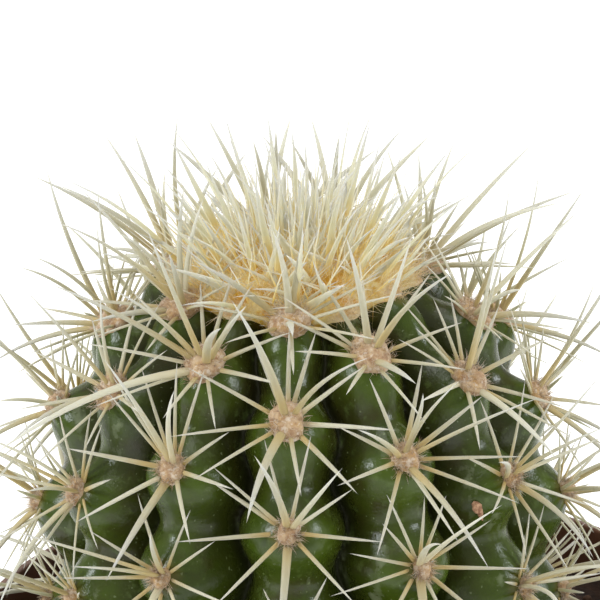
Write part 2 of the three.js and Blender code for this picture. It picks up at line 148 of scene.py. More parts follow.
# Ribs: how many, where the middle rib faces, and how far apart the spots of a rib are in degrees
RIBS = 13
FIRST_RIB = -6
FRONT_TURN = -2.5
SPOT_START = 25.48
SPOT_STEP = 25.08
SPOT_SLOWING = 0.96
TOP_PLACE = -0.98
BOTTOM_PLACE = 9.95
LAST_SPOT = 4.5
# How far down each rib its first spot lies, from the first rib on
RIB_START = np.array([0.12, 0.6, 0.08, 0.6, 0.04, 0.52, 0, 0.45, 0.95, 0.56, 0.1, 0.58, 0.14])

# Relief: valleys round the bumps, the dish at the top, the flatter part in the soil, and the folds
VALLEY_DEPTH = 8.5
VALLEY_POWER = 1.2
VALLEY_LIMIT = 1.3
NOTCH_DEPTH = 0.13
BUMP_BELOW_SPOT = 0.09
BUMP_REACH = 0.25
DISH_DEPTH = 4
DISH_FROM = -0.35
DISH_TO = -0.02
BURIED_RELIEF = 0.25
BURIED_FROM = 4.3
BURIED_TO = 5.4
FOLD_DEPTH = 1.1
FOLD_WIDTH = 0.075
SKIN_SIDES_PER_RIB = 32
SKIN_ROWS = 190
SKIN_FROM = -0.7
BURIED_PLACES = (5.8, 6.3, 7, 7.8, 8.8)

# Unevenness, as layers of lumps: the height, the size and the seed of each
SKIN_LUMPS = ((0.42, 9.5, 3), (0.168, 3.2, 4))
PAD_LUMPS = ((0.5, 1.7, 5), (0.16, 0.6, 6))
WOOL_LUMPS = ((0.9, 4.4, 7), (0.22, 1.5, 8), (0.12, 0.6, 9))
SOIL_LUMPS = ((0.7, 5, 11), (0.5, 2.1, 12), (0.26, 0.95, 13))
CRUMB_LUMPS = ((0.3, 0.9, 14),)
FIBRE_LUMPS = ((0.4, 3, 15),)
FLAKE_LUMPS = ((0.28, 0.6, 16),)

# Seeds of the hairs of the spots and of the crown, and of what lies on the soil
BUTTON_SEED = 31
CROWN_SEED = 32
LITTER_SEED = 33

# Woolly spots, each turned this far toward the crown, with a button of wool from young to old
SPOT_TILT = 7
PAD_RADIUS = (3.5, 1.45)
PAD_FULL_GROWN = 2.7
PAD_HEIGHT = 1.25
PAD_ROOT = 2
PAD_LONGER = 1.15
PAD_SIDES = 26
# The rings of a button, as shares of its radius and of its height
PAD_RINGS = ((0.25, 0.97), (0.5, 0.84), (0.72, 0.62), (0.9, 0.28), (1, -0.3), (0.9, -1))
PAD_HAIRS = 260
PAD_HAIR_LENGTH = 1.6
PAD_HAIR_SUNK = 0.35
PAD_HAIR_CURL = 0.7
# How far the button falls off toward its edge, and how short its hairs are once four spots old
PAD_FALL_POWER = 2.4
PAD_HAIR_SHORTER = 0.72
PAD_OLD = 4
# How far its hairs lean outward in its middle, how much more at its edge, and how far they stray
PAD_HAIR_LEAN = (0.25, 0.9, 0.5)
# Every hair: its width, how its length and its width stray, and how it narrows toward its tip
HAIR_WIDTH = 0.085
HAIR_LENGTHS = (0.55, 1.2)
HAIR_WIDTHS = (0.7, 1.3)
HAIR_TAPER = np.array([1, 0.85, 0])

# Spines round each spot: clock angles from the crown's side, lift off the skin, and length
ROOT_DEPTH = 1.3
ROOT_RING = 0.9
RADIAL_CLOCK = (20, 60, 97, 136, -136, -97, -60, -20)
RADIAL_LENGTH = 15
LOWER_RADIAL_LONGER = 1.12
LOWER_RADIAL_FROM = 80
RADIAL_LIFT = 20
RADIAL_WIDTH = 0.84
RADIAL_STRAY = {"clock": 8, "lift": 7, "length": 0.14, "width": 0.16}
# More of them at some spots, each with its clock angle and its chance
EXTRA_RADIALS = ((172, 0.8), (2, 0.55), (-40, 0.4))
# Older spots have slimmer star spines, and shorter ones above, as shares of the young ones
OLDER_FROM = (1, 2.8)
OLDER_SLIMMER = 0.8
OLDER_SHORTER = 0.88
# Spines that stand out of a spot's middle
CENTRAL_SPINES = (
    # Clock angle, lift, length, width, bow, chance, and the first and last place where it grows
    (180, 28, 20, 1.5, 0.07, 1, 0, 9),
    (-25, 68, 25, 1.25, 0.045, 1, 0, 9),
    (30, 62, 23, 1.05, 0.045, 0.8, 0, 9),
    (-80, 44, 25, 1.1, 0.06, 0.4, 0, 9),
    (76, 44, 23, 1.1, 0.06, 0.35, 0, 9),
    (-142, 52, 29, 1.2, 0.05, 1, 0.02, 0.3),
    (138, 56, 27, 1.2, 0.05, 0.9, 0.02, 0.3),
    (-104, 44, 26, 1.3, 0.06, 0.8, 0.02, 0.75),
    (100, 58, 24, 1.3, 0.05, 0.7, 0.02, 0.75),
)
CENTRAL_STRAY = {"clock": 16, "lift": 10, "length": 0.18, "width": 0.14, "bow": 0.6}
# At one young spot the first has outgrown the others: its rib, its spot and its line in the table
LONG_SPINE_AT = (-1, 0, 0)
# Its clock angle, lift and length
LONG_SPINE = (-150, 20, 37)
YOUNG_LENGTH = 0.72
YOUNG_BROADER = 1.15
# How a spine narrows: by a share along its length, and with a power toward its tip
RADIAL_TAPER = (0.34, 5)
CENTRAL_TAPER = (0.42, 4)
FLATNESS = 0.62
RADIAL_ROWS = 9
RADIAL_SIDES = 7
CENTRAL_ROWS = 12
CENTRAL_SIDES = 9
# How far the middle ones bow upward and aside for each step outward
CENTRAL_BOW_UP = 0.6
CENTRAL_BOW_ASIDE = 0.5
# How far a star spine bows out from a straight line, as a share of its length
RADIAL_BOW = 0.018
CLEAR_OF_POT = 0.7
CLEAR_OF_RIM = 3.2
CLEAR_OF_WALL = 2
CLEAR_FROM = 0.2
RAISE_STEP = 0.12
RAISE_TRIES = 12
SHORTENED = (1, 0.8, 0.6)

# A dry flake on the flank of a rib, from one rib and place to another
FLAKE_FROM = (1.64, 2.06)
FLAKE_TO = (1.73, 2.28)
FLAKE_WIDTH = 1.9
FLAKE_PROUD = 0.6
FLAKE_FLATNESS = 0.45
FLAKE_ROWS = 14
FLAKE_SIDES = 9

# Crown: wool in the dish at the top, tucked in below, and the spines that stand in it
WOOL_RADIUS = 19.4
WOOL_LOBES = 0.07
EDGE_LOBES = 0.13
WOOL_RISE = 1.4
WOOL_FALL = 4.4
WOOL_ROOT = 14
WOOL_TUCK = np.array([0.75, 0.75, 1])
WOOL_TUCK_DEPTH = 5
WOOL_SIDES = 130
WOOL_ROWS = 26
WOOL_HAIRS = 12000
WOOL_HAIR_LENGTH = 3.4
WOOL_HAIR_SUNK = 0.5
WOOL_HAIR_LEAN = 0.9
WOOL_HAIR_STRAY = 0.6
WOOL_HAIR_CURL = 0.8
# How much lower its edge is, and from which share of its radius
WOOL_EDGE_DROP = 0.5
WOOL_EDGE_FROM = 0.85
CROWN_SPINE_LENGTH = (15.5, 21)
CROWN_SPINE_WIDTH = 2.3
CROWN_FLATNESS = 0.42
CROWN_TAPER = 1.5
CROWN_LEAN = (2, 56)
CROWN_STRAY = {"place": 0.25, "lean": 16}
# The share of its length that a crown spine grows to; few grow long
CROWN_GROWTH = (0.66, 1.36)
GROWN_FEW = 2.6
CROWN_SPREAD = 0.86
CROWN_BOW = 0.045
GOLDEN_ANGLE = math.pi * (3 - math.sqrt(5))
# How much slimmer the outermost are than the middle ones, as a share
OUTER_SLIMMER = 0.36
# Sets of them: how many, length and width as shares, how far they cross, first turn, rows and sides
UPRIGHT = (84, 1, 1, 0.8, 0, 11, 8)
CROSSING = (130, 0.76, 0.66, 2.8, 1.3, 11, 8)
YOUNG = (640, 0.7, 0.31, 2.8, 2.2, 7, 5)

# Looks of the spines
BONE = (165, 160, 136)
SPINE_LOOKS = {
    # Colour at the root, in the middle, at the end and at the tip, how far the root's goes, and glow
    "star_spines": ((164, 144, 98), BONE, (170, 167, 154), (152, 147, 132), 0.15, 0.17),
    "middle_spines": ((168, 152, 110), BONE, (168, 168, 164), (150, 146, 132), 0.14, 0.17),
    "crown_spines": ((214, 190, 122), (198, 194, 166), (170, 171, 168), (160, 161, 160), 0.14, 0.16),
    "young_spines": ((228, 192, 98), (213, 203, 158), (184, 183, 172), (168, 168, 166), 0.21, 0.16),
}


# Meshes

@dataclass
class Shape:
    """Points, the triangles between them, and the marks that finishes read, one number a point."""

    points: np.ndarray
    faces: np.ndarray
    marks: dict = field(default_factory=dict)

    def marked(self, **marks):
        """The shape with more marks, each a number a point or one for them all."""
        for name, values in marks.items():
            self.marks[name] = np.full(len(self.points), values, float)
        return self


def joined(shapes):
    """Several shapes as one, with the marks that the first has."""
    starts = np.cumsum([0] + [len(shape.points) for shape in shapes[:-1]])
    faces = [shape.faces + start for shape, start in zip(shapes, starts)]
    marks = {name: np.concatenate([shape.marks[name] for shape in shapes]) for name in shapes[0].marks}
    return Shape(np.concatenate([shape.points for shape in shapes]), np.concatenate(faces), marks)


def put_in_scene(name, data):
    """An object of a mesh, a light or a camera."""
    made = bpy.data.objects.new(name, data)
    bpy.context.scene.collection.objects.link(made)
    return made


def make_object(name, shape):
    """A smooth mesh object of a shape, in metres."""
    mesh = bpy.data.meshes.new(name)
    mesh.from_pydata((shape.points * MM).tolist(), [], shape.faces.tolist())
    for mark, values in shape.marks.items():
        attribute = mesh.attributes.new(mark, "FLOAT", "POINT")
        attribute.data.foreach_set("value", np.asarray(values, np.float32))
    mesh.shade_smooth()
    return put_in_scene(name, mesh)


def dress(made, finish, slot, replaced=None):
    """Gives an object its finish and ties it to the frame."""
    made.data.materials.append(finish)
    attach(made, BODY)
    if replaced:
        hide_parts(replaced)


def turns(sides):
    """Even steps round a circle, as angles."""
    return 2 * np.pi * np.arange(sides) / sides


def ring_faces(rows, sides):
    """Triangles between rings of points, one ring after another."""
    row, side = np.meshgrid(np.arange(rows - 1), np.arange(sides), indexing="ij")
    near = (row * sides + side).ravel()
    beside = (row * sides + (side + 1) % sides).ravel()
    lower = np.stack([near, near + sides, beside + sides], 1)
    upper = np.stack([near, beside + sides, beside], 1)
    return np.concatenate([lower, upper])


def ringed(first, rings, last):
    """Rings of points closed with a point at each end, the first end facing up."""
    rows, sides, _ = rings.shape
    side = np.arange(sides)
    beside = (side + 1) % sides
    start_fan = np.stack([np.zeros(sides, int), 1 + side, 1 + beside], 1)
    last_row = 1 + (rows - 1) * sides
    end_fan = np.stack([last_row + side, np.full(sides, last_row + sides), last_row + beside], 1)
    points = np.concatenate([[first], rings.reshape(-1, 3), [last]])
    return Shape(points, np.concatenate([start_fan, 1 + ring_faces(rows, sides), end_fan]))


def unit(vectors):
    """Vectors at length one."""
    return vectors / (np.linalg.norm(vectors, axis=-1, keepdims=True) + 1e-12)


def tubes(paths, widths, faced, flatness, sides, own):
    """Closed tapered tubes along paths, each ending in a point.

    Each tube has a path from its root to its tip, a width at each point of the path, a direction
    that its flat side faces, and a number of its own between 0 and 1.
    """
    count, rows, _ = paths.shape
    along = unit(np.gradient(paths, axis=1))
    wide = unit(np.cross(faced[:, None], along))
    over = np.cross(along, wide)
    turn = turns(sides)
    across = np.cos(turn)[:, None] * wide[:, :-1, None]
    across = across + flatness * np.sin(turn)[:, None] * over[:, :-1, None]
    rings = paths[:, :-1, None] + across * widths[:, :-1, None, None] / 2
    points = np.concatenate([rings.reshape(count, -1, 3), paths[:, -1:]], axis=1)
    side = np.arange(sides)
    beside = (side + 1) % sides
    last_row = (rows - 2) * sides
    faces = np.concatenate([
        ring_faces(rows - 1, sides)[:, ::-1],
        np.stack([last_row + side, last_row + beside, np.full(sides, last_row + sides)], 1),
        np.stack([np.zeros(sides - 2, int), side[2:], side[1:-1]], 1),
    ])
    per_tube = points.shape[1]
    all_faces = faces[None] + per_tube * np.arange(count)[:, None, None]
    share = np.append(np.repeat(np.arange(rows - 1) / (rows - 1), sides), 1)
    length = np.linalg.norm(np.diff(paths, axis=1), axis=2).sum(1)
    return Shape(points.reshape(-1, 3), all_faces.reshape(-1, 3)).marked(
        along=np.tile(share, count), reach=np.outer(length, share).ravel(), own=np.repeat(own, per_tube))


# Seeded draws and unevenness

def draw(*keys):
    """A repeatable draw between 0 and 1 for each set of whole numbers, the same as the solids have."""
    state = 20261
    for key in keys:
        state = (state + key * 7919 + 104729) * 48271 % 2147483647
    return state * 48271 % 2147483647 / 2147483647


def sway(*keys):
    """A draw between -1 and 1."""
    return 2 * draw(*keys) - 1


def lattice(cells, seed):
    """A number between -1 and 1 for each cell of a lattice."""
    x, y, z = (cells[..., axis].astype(np.int64) for axis in range(3))
    mixed = (x * 73856093) ^ (y * 19349663) ^ (z * 83492791) ^ (seed * 2654435761)
    mixed = ((mixed & 0xFFFFFFFF) ^ ((mixed & 0xFFFFFFFF) >> 13)) * 1274126177 & 0xFFFFFFFF
    mixed = (mixed ^ (mixed >> 16)) * 2246822519 & 0xFFFFFFFF
    return mixed / 2**31 - 1


def lumps(points, layers):
    """Smooth seeded unevenness, the sum of layers of lumps."""
    total = np.zeros(points.shape[:-1])
    for height, size, seed in layers:
        cells = np.floor(points / size)
        part = points / size - cells
        part = part * part * (3 - 2 * part)
        for corner in itertools.product((0, 1), repeat=3):
            weight = np.prod(np.where(corner, part, 1 - part), axis=-1)
            total += height * weight * lattice(cells + corner, seed)
    return total


def smoothstep(value, low, high):
    """0 below a low value and 1 above a high one, smooth between them."""
    share = np.clip((value - low) / (high - low), 0, 1)
    return share * share * (3 - 2 * share)


def lerp(first, second, share):
    """The value at a share of the way between two."""
    return first + (second - first) * share


# The plant's round surface and its bumps

def planted(points):
    """Points of the plant's own frame, leaned and set in the pot."""
    lean = math.radians(-PLANT_LEAN)
    x, y, z = np.moveaxis(points, -1, 0)
    turned = [x * math.cos(lean) + z * math.sin(lean), y, z * math.cos(lean) - x * math.sin(lean)]
    return np.stack(turned, -1) + PLANT_CENTRE


def polar_angle(place):
    """Angle from the crown to a place, where whole steps of the place are spots along a rib."""
    degrees = SPOT_START + SPOT_STEP * place - SPOT_SLOWING * place * place
    return np.radians(np.clip(degrees, 0, 180))


def round_profile(polar):
    """Radius and height of the round surface at an angle from the crown."""
    level = np.cos(polar)
    radius = WIDE_RADIUS * np.abs(np.sin(polar)) ** SIDE_POWER
    return radius, CROWN_HEIGHT * np.sign(level) * np.abs(level) ** TOP_POWER


def round_normal(polar):
    """Direction square to the round surface, as an outward and an upward share."""
    step = 0.01
    near_radius, near_height = round_profile(np.maximum(polar - step, 0))
    far_radius, far_height = round_profile(np.minimum(polar + step, np.pi))
    length = np.hypot(far_radius - near_radius, far_height - near_height)
    return (near_height - far_height) / length, (far_radius - near_radius) / length


def rib_turn(rib):
    """Angle round the plant that a rib faces, from the front."""
    return np.radians(FRONT_TURN + 360 / RIBS * rib)


def rib_start(rib):
    """How far down its rib a rib's first spot lies."""
    return RIB_START[(np.asarray(rib, int) - FIRST_RIB) % RIBS]


def rib_columns(per_rib):
    """Even steps round the plant, a number of them to each rib."""
    return FIRST_RIB + np.arange(RIBS * per_rib) / per_rib


def facing(turn):
    """The level direction that an angle round the plant faces."""
    return np.stack([np.sin(turn), -np.cos(turn), np.zeros_like(turn)], -1)


def bump_distances(rib, place, below=BUMP_BELOW_SPOT):
    """Squared distances from the bumps of the ribs on either side, where ribs are one apart."""
    distances = []
    for column in (np.floor(rib), np.floor(rib) + 1):
        along = place - rib_start(column) - below
        distances.append((rib - column) ** 2 + NOTCH_DEPTH * np.sin(np.pi * along) ** 2)
    return distances


def fold_share(rib, place):
    """1 in the fold where two ribs meet, and 0 beside it."""
    left, right = bump_distances(rib, place)
    return 1 - smoothstep(np.abs(left - right) / 2, 0, FOLD_WIDTH)


def relief_depth(rib, place):
    """How far the skin lies below the round surface, deepest between the ribs."""
    radius, _ = round_profile(polar_angle(place))
    size = radius / WIDE_RADIUS * lerp(1, BURIED_RELIEF, smoothstep(place, BURIED_FROM, BURIED_TO))
    share = np.minimum(np.minimum(*bump_distances(rib, place)) / BUMP_REACH, VALLEY_LIMIT)
    valley = size * (VALLEY_DEPTH * share**VALLEY_POWER + FOLD_DEPTH * fold_share(rib, place))
    return valley + DISH_DEPTH * (1 - smoothstep(place, DISH_FROM, DISH_TO))


def skin_point(rib, place, out=0.0):
    """A point of the skin in the plant's own frame, moved out by a distance."""
    polar = polar_angle(place)
    radius, height = round_profile(polar)
    outward, upward = round_normal(polar)
    move = out - relief_depth(rib, place)
    far = np.maximum(radius + move * outward, 0)
    point = facing(rib_turn(rib)) * far[..., None]
    point[..., 2] = height + move * upward
    return point


def make_skin():
    """The ribbed body, closed at its crown and at the end that sits in the soil."""
    places = [*np.linspace(SKIN_FROM, BURIED_TO, SKIN_ROWS), *BURIED_PLACES]
    rib, place = np.meshgrid(rib_columns(SKIN_SIDES_PER_RIB), places)
    rings = skin_point(rib, place, lumps(skin_point(rib, place), SKIN_LUMPS))
    marks = {
        "valley": np.minimum(*bump_distances(rib, place)) / BUMP_REACH,
        "fold": fold_share(rib, place),
        "spot": np.sqrt(np.minimum(*bump_distances(rib, place, 0))),
        "place": place,
    }
    skin = ringed(skin_point(0, TOP_PLACE), rings, skin_point(0, BOTTOM_PLACE))
    return skin.marked(**{name: np.pad(values.ravel(), 1, "edge") for name, values in marks.items()})


# Woolly spots and spines

@dataclass
class Spot:
    """A woolly spot: where it is, and its directions out, toward the crown and to the right."""

    rib: int
    number: int
    place: float
    middle: np.ndarray
    out: np.ndarray
    up: np.ndarray
    right: np.ndarray

    @property
    def keys(self):
        """Whole numbers that stand for the spot in the draws, the rib's above zero."""
        return self.rib - FIRST_RIB + 1, self.number

    def direction(self, clock, lift):
        """A direction by its clock angle from the crown's side and its lift off the skin."""
        clock, lift = math.radians(clock), math.radians(lift)
        flat = self.up * math.cos(clock) + self.right * math.sin(clock)
        return flat * math.cos(lift) + self.out * math.sin(lift)

    def around(self, turn):
        """Directions round the spot, longer toward the crown and away from it."""
        return self.right * np.cos(turn)[:, None] + PAD_LONGER * self.up * np.sin(turn)[:, None]


def make_spot(rib, number):
    """The woolly spot with a number on a rib."""
    place = rib_start(rib) + number
    outward, upward = round_normal(polar_angle(place))
    side = facing(rib_turn(rib))
    out = outward * side + upward * UP
    up = outward * UP - upward * side
    tilt = math.radians(SPOT_TILT)
    tilted_out = out * math.cos(tilt) + up * math.sin(tilt)
    tilted_up = up * math.cos(tilt) - out * math.sin(tilt)
    return Spot(rib, number, place, skin_point(rib, place), tilted_out, tilted_up, np.cross(up, out))


def all_spots():
    """Every spot on the ribs that shows."""
    return [make_spot(rib, number) for rib in range(FIRST_RIB, FIRST_RIB + RIBS)
            for number in range(math.ceil(LAST_SPOT - rib_start(rib)))]


def soil_level(x, y):
    """The soil's uneven level at a place in the pot."""
    wave = np.sin(x / 8 + 1) * np.cos(y / 10 - 0.5) + 0.6 * np.sin((x - y) / 5)
    return POT_HEIGHT - SOIL_BELOW_RIM + SOIL_UNEVEN * wave


def clear_of_pot(path):
    """True where a spine's path in the plant's own frame stays clear of the rim and the soil."""
    x, y, z = planted(path).T
    radius = np.hypot(x, y)
    inside = RIM_RADIUS - WALL
    in_soil = (radius < inside - CLEAR_OF_WALL) & (z < soil_level(x, y) + CLEAR_OF_POT)
    in_rim = (np.abs(radius - inside) < CLEAR_OF_RIM) & (z < POT_HEIGHT + CLEAR_OF_POT)
    return not (in_soil | in_rim).any()


def spine_path(root, direction, length, bow, bow_toward, rows):
    """A spine's path, bowed between its root and its tip toward a direction."""
    share = np.linspace(0, 1, rows)[:, None]
    aside = unit(bow_toward - direction * (bow_toward @ direction))
    return root + direction * length * share + aside * (4 * bow * length * share * (1 - share))


def grown_path(spot, direction, length, bow, bow_toward, rows):
    """A spine's path, turned upward or shortened until it clears the pot, or None."""
    root = spot.middle - ROOT_DEPTH * spot.out + ROOT_RING * direction
    start = math.ceil(CLEAR_FROM * rows)
    for share in SHORTENED:
        for raised in range(RAISE_TRIES):
            way = unit(direction + RAISE_STEP * raised * UP)
            path = spine_path(root, way, share * length, bow, bow_toward, rows)
            if clear_of_pot(path[start:]):
                return path
    return None


def star_spines(spot):
    """The flat star round a spot: each spine's path or None, what its flat side faces, its width."""
    extra = [clock for i, (clock, chance) in enumerate(EXTRA_RADIALS)
             if draw(*spot.keys, i, 11) < chance]
    older = smoothstep(spot.place, *OLDER_FROM)
    for i, clock in enumerate((*RADIAL_CLOCK, *extra)):
        keys = (*spot.keys, i)
        lower = abs(clock) > LOWER_RADIAL_FROM
        longer = LOWER_RADIAL_LONGER if lower else lerp(1, OLDER_SHORTER, older)
        direction = spot.direction(
            clock + RADIAL_STRAY["clock"] * sway(*keys, 1),
            RADIAL_LIFT + RADIAL_STRAY["lift"] * sway(*keys, 2))
        length = RADIAL_LENGTH * longer * (1 + RADIAL_STRAY["length"] * sway(*keys, 3))
        width = RADIAL_WIDTH * lerp(1, OLDER_SLIMMER, older) * (1 + RADIAL_STRAY["width"] * sway(*keys, 4))
        path = grown_path(spot, direction, length, RADIAL_BOW, spot.out, RADIAL_ROWS)
        yield path, spot.out, width


def middle_spines(spot):
    """The thick curved spines that stand out of a spot's middle, told as the star's are."""
    broader = lerp(YOUNG_BROADER, 1, smoothstep(spot.place, 0.1, 1))
    for i, (clock, lift, length, width, bow, chance, first, last) in enumerate(CENTRAL_SPINES):
        keys = (*spot.keys, i)
        if not first <= spot.place <= last or draw(*keys, 12) > chance:
            continue
        clock += CENTRAL_STRAY["clock"] * sway(*keys, 5)
        lift += CENTRAL_STRAY["lift"] * sway(*keys, 6)
        # Those that only the youngest spots have are full-grown there
        if last > 1:
            length *= lerp(YOUNG_LENGTH, 1, smoothstep(spot.place, 0, 1))
        length *= 1 + CENTRAL_STRAY["length"] * sway(*keys, 7)
        if (spot.rib, spot.number, i) == LONG_SPINE_AT:
            clock, lift, length = LONG_SPINE
        direction = spot.direction(clock, lift)
        bow *= 1 + CENTRAL_STRAY["bow"] * sway(*keys, 9)
        aside = CENTRAL_BOW_ASIDE * spot.right * sway(*keys, 8)
        bow_toward = spot.out + CENTRAL_BOW_UP * UP + aside
        width *= broader * (1 + CENTRAL_STRAY["width"] * sway(*keys, 10))
        path = grown_path(spot, direction, length, bow, bow_toward, CENTRAL_ROWS)
        yield path, np.cross(spot.right, direction), width


def spines(spots, grown, taper, sides, seed):
    """All spines that are grown on the spots in one way, as one shape."""
    made = [spine for spot in spots for spine in grown(spot) if spine[0] is not None]
    paths, faced, widths = (np.array(column) for column in zip(*made))
    slim, point = taper
    share = np.linspace(0, 1, paths.shape[1])
    widths = widths[:, None] * ((1 - slim * share) * (1 - share**point))
    own = np.array([draw(i, seed) for i in range(len(made))])
    return tubes(paths, widths, faced, FLATNESS, sides, own)


def hairs(roots, directions, length, curl, rng):
    """Fine curled hairs from roots on a woolly surface."""
    count = len(roots)
    share = np.linspace(0, 1, len(HAIR_TAPER))[None, :, None]
    reach = (length * rng.uniform(*HAIR_LENGTHS, count))[:, None, None]
    bend = unit(rng.normal(size=(count, 3)))[:, None]
    paths = roots[:, None] + reach * (directions[:, None] * share + curl * bend * share**2)
    widths = HAIR_WIDTH * rng.uniform(*HAIR_WIDTHS, (count, 1)) * HAIR_TAPER
    return tubes(paths, widths, unit(rng.normal(size=(count, 3))), 1, 3, rng.uniform(size=count))


def wool_button(spot, rng):
    """The wool of one spot: a lumpy button with short hairs."""
    size = lerp(*PAD_RADIUS, smoothstep(spot.place, 0, PAD_FULL_GROWN))
    shares, rises = np.array(PAD_RINGS).T[..., None, None]
    rings = spot.middle + size * shares * spot.around(turns(PAD_SIDES)) + PAD_HEIGHT * rises * spot.out
    outward = unit(rings - spot.middle + spot.out)
    rings = rings + outward * lumps(rings, PAD_LUMPS)[..., None]
    button = ringed(spot.middle + PAD_HEIGHT * spot.out, rings, spot.middle - PAD_ROOT * spot.out)
    heights = np.repeat(np.maximum(rises, 0), PAD_SIDES)
    button.marked(along=[1, *heights, 0], own=0.5)
    spread = np.sqrt(rng.uniform(0.02, 1, PAD_HAIRS))
    side = spot.around(rng.uniform(0, 2 * np.pi, PAD_HAIRS))
    rise = PAD_HEIGHT * (1 - spread**PAD_FALL_POWER) - PAD_HAIR_SUNK
    roots = spot.middle + size * spread[:, None] * side + rise[:, None] * spot.out
    middle, edge, stray = PAD_HAIR_LEAN
    lean = unit(spot.out + (middle + edge * spread[:, None]) * side + stray * rng.normal(size=side.shape))
    length = PAD_HAIR_LENGTH * lerp(1, PAD_HAIR_SHORTER, spot.place / PAD_OLD)
    return joined([button, hairs(roots, lean, length, PAD_HAIR_CURL, rng)])


def wool_buttons(spots):
    """The wool of all spots."""
    rng = np.random.default_rng(BUTTON_SEED)
    return joined([wool_button(spot, rng) for spot in spots])


def dry_flake():
    """A curled scrap of dried husk."""
    share = np.linspace(0, 1, FLAKE_ROWS)
    rib, place = (lerp(start, end, share) for start, end in zip(FLAKE_FROM, FLAKE_TO))
    widths = FLAKE_WIDTH * lerp(0.4, 1, smoothstep(share, 0, 0.2)) * (1 - share**6)
    widths = widths * lerp(1, 0.55, smoothstep(share, 0.3, 0.55))
    outward = facing(rib_turn(FLAKE_FROM[0]))[None]
    line = skin_point(rib, place, FLAKE_PROUD)
    flake = tubes(line[None], widths[None], outward, FLAKE_FLATNESS, FLAKE_SIDES, np.array([0.5]))
    flake.points += lumps(flake.points, FLAKE_LUMPS)[:, None] * outward
    return flake


# The crown

def wool_height(share):
    """Height of the crown's wool at a share of its radius."""
    return CROWN_HEIGHT + WOOL_RISE * (1 - share**2) - WOOL_FALL * share**2


def lobes(turn):
    """1 where the crown's wool meets a rib, and -1 where it meets a valley."""
    return np.cos(RIBS * (turn - rib_turn(0)))


def wool_point(share, turn):
    """A point on the crown's wool at a share of its radius and an angle round it."""
    point = facing(turn) * (WOOL_RADIUS * share * (1 + WOOL_LOBES * share * lobes(turn)))[..., None]
    point[..., 2] = wool_height(share)
    point[..., 2] += lumps(point, WOOL_LUMPS)
    return point


def wool_edge(share, turn):
    """How near the edge of the wool a place lies, nearest where the wool meets the ribs."""
    return share * (1 + EDGE_LOBES * (lobes(turn) - 1))


def crown_wool():
    """The lumpy dome of wool in the dish at the top, with its hairs."""
    share, turn = np.meshgrid(np.linspace(0.03, 1, WOOL_ROWS), turns(WOOL_SIDES), indexing="ij")
    rings = wool_point(share, turn)
    rings[..., 2] -= WOOL_EDGE_DROP * smoothstep(share, WOOL_EDGE_FROM, 1)
    rings = np.concatenate([rings, rings[-1:] * WOOL_TUCK - WOOL_TUCK_DEPTH * UP])
    dome = ringed(wool_height(0) * UP, rings, (CROWN_HEIGHT - WOOL_ROOT) * UP)
    edge = wool_edge(share, turn)
    dome.marked(
        along=[1, *(1 - 0.6 * share.ravel()), *np.zeros(WOOL_SIDES + 1)], own=0.5,
        edge=[0, *edge.ravel(), *edge[-1], 1])
    rng = np.random.default_rng(CROWN_SEED)
    spread = np.sqrt(rng.uniform(0, 1, WOOL_HAIRS))
    turn = rng.uniform(0, 2 * np.pi, WOOL_HAIRS)
    roots = wool_point(spread, turn) - WOOL_HAIR_SUNK * UP
    outward = WOOL_HAIR_LEAN * spread[:, None] * facing(turn)
    lean = unit(UP + outward + WOOL_HAIR_STRAY * rng.normal(size=roots.shape))
    strands = hairs(roots, lean, WOOL_HAIR_LENGTH, WOOL_HAIR_CURL, rng)
    strands.marked(edge=np.repeat(wool_edge(spread, turn), len(strands.points) // WOOL_HAIRS))
    return joined([dome, strands])


def crown_path(number, count, length, crossing, shift, rows):
    """The path of one crown spine, which leans further out the further out it stands."""
    share = math.sqrt((number + 0.5) / count)
    turn = number * GOLDEN_ANGLE + shift + CROWN_STRAY["place"] * sway(number, 0, 1)
    side = facing(turn)
    root = side * CROWN_SPREAD * WOOL_RADIUS * share
    root[2] = wool_height(share) - ROOT_DEPTH
    lean = math.radians(lerp(*CROWN_LEAN, share) + CROWN_STRAY["lean"] * sway(number, 0, 2))
    twist = turn + crossing * sway(number, 0, 3)
    way = math.sin(lean) * facing(twist) + math.cos(lean) * UP
    growth = lerp(*CROWN_GROWTH, draw(number, 0, 4) ** GROWN_FEW)
    bow_toward = UP - 0.4 * side + 0.4 * facing(twist + 1.57 * sway(number, 5))
    bow = CROWN_BOW * (1 + sway(number, 6))
    reach = length * growth * lerp(*CROWN_SPINE_LENGTH, share)
    return spine_path(root, way, reach, bow, bow_toward, rows), side


def crown_spines(count, length, width, crossing, shift, rows, sides):
    """A set of crown spines as one shape."""
    made = [crown_path(number, count, length, crossing, shift, rows) for number in range(count)]
    paths, outward = (np.array(column) for column in zip(*made))
    askew = np.array([sway(number, 24) for number in range(count)])
    own = np.array([draw(number, count, 23) for number in range(count)])
    slimmer = 1 - OUTER_SLIMMER * np.sqrt(np.arange(count) / count)
    taper = 1 - np.linspace(0, 1, rows) ** CROWN_TAPER
    widths = (width * CROWN_SPINE_WIDTH * slimmer * (0.8 + 0.4 * own))[:, None] * taper
    faced = outward + 1.2 * askew[:, None] * np.cross(outward, UP)
    return tubes(paths, widths, faced, CROWN_FLATNESS, sides, own)


# Soil

def level_place(ribs):
    """The place on each rib at which the skin meets the soil."""
    low, high = (np.full(ribs.shape, place) for place in CONTACT_BETWEEN)
    for _ in range(24):
        middle = (low + high) / 2
        x, y, z = planted(skin_point(ribs, middle)).T
        above = z > soil_level(x, y)
        low, high = np.where(above, middle, low), np.where(above, high, middle)
    return (low + high) / 2


def on_circle(points, radius):
    """Where level lines from the plant's middle through points meet a circle round the pot."""
    start = PLANT_CENTRE[:2]
    way = unit(points[:, :2] - start)
    middle = way @ start
    return start + way * (np.sqrt(middle**2 - start @ start + radius**2) - middle)[:, None]


